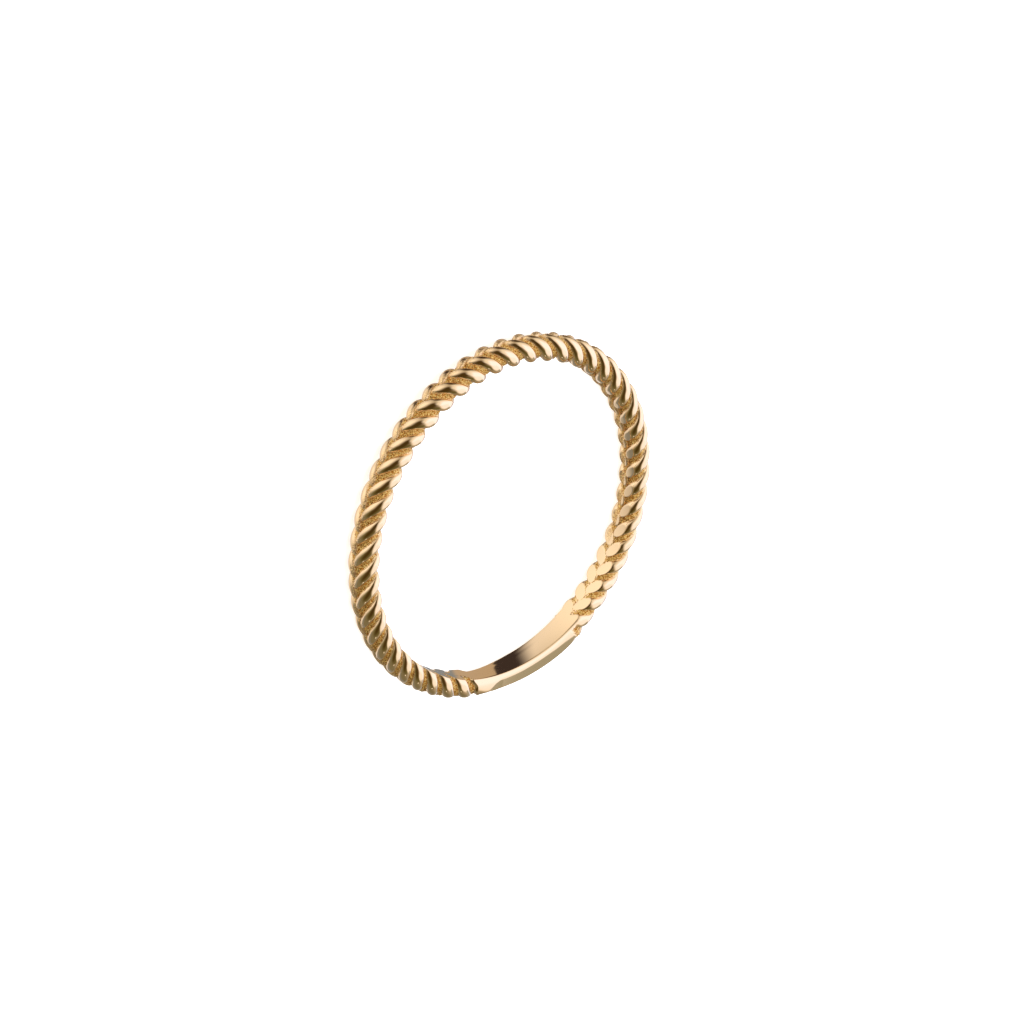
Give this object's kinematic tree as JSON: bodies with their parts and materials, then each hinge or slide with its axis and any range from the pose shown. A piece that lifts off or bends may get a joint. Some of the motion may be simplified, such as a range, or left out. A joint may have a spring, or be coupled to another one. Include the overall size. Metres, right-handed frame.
{
  "type": "rope twist ring",
  "caption": "Slim finger ring with a round band of braided rope strands, closed by a plain plate with filed flat sides.",
  "frame": {"origin": "on the axis of the finger bore, at the surface that the ring lies on", "axes": "+Z along the bore's axis, with the ring lying flat; +Y from the axis towards the middle of the plain plate; +X completes the frame"},
  "size_m": [0.0196, 0.0195, 0.0016],
  "materials": {
    "gold": "polished strands and plate, with a granular finish in the grooves between the strands"
  },
  "bodies": {
    "root": {"ring": "gold"}
  },
  "joints": []
}
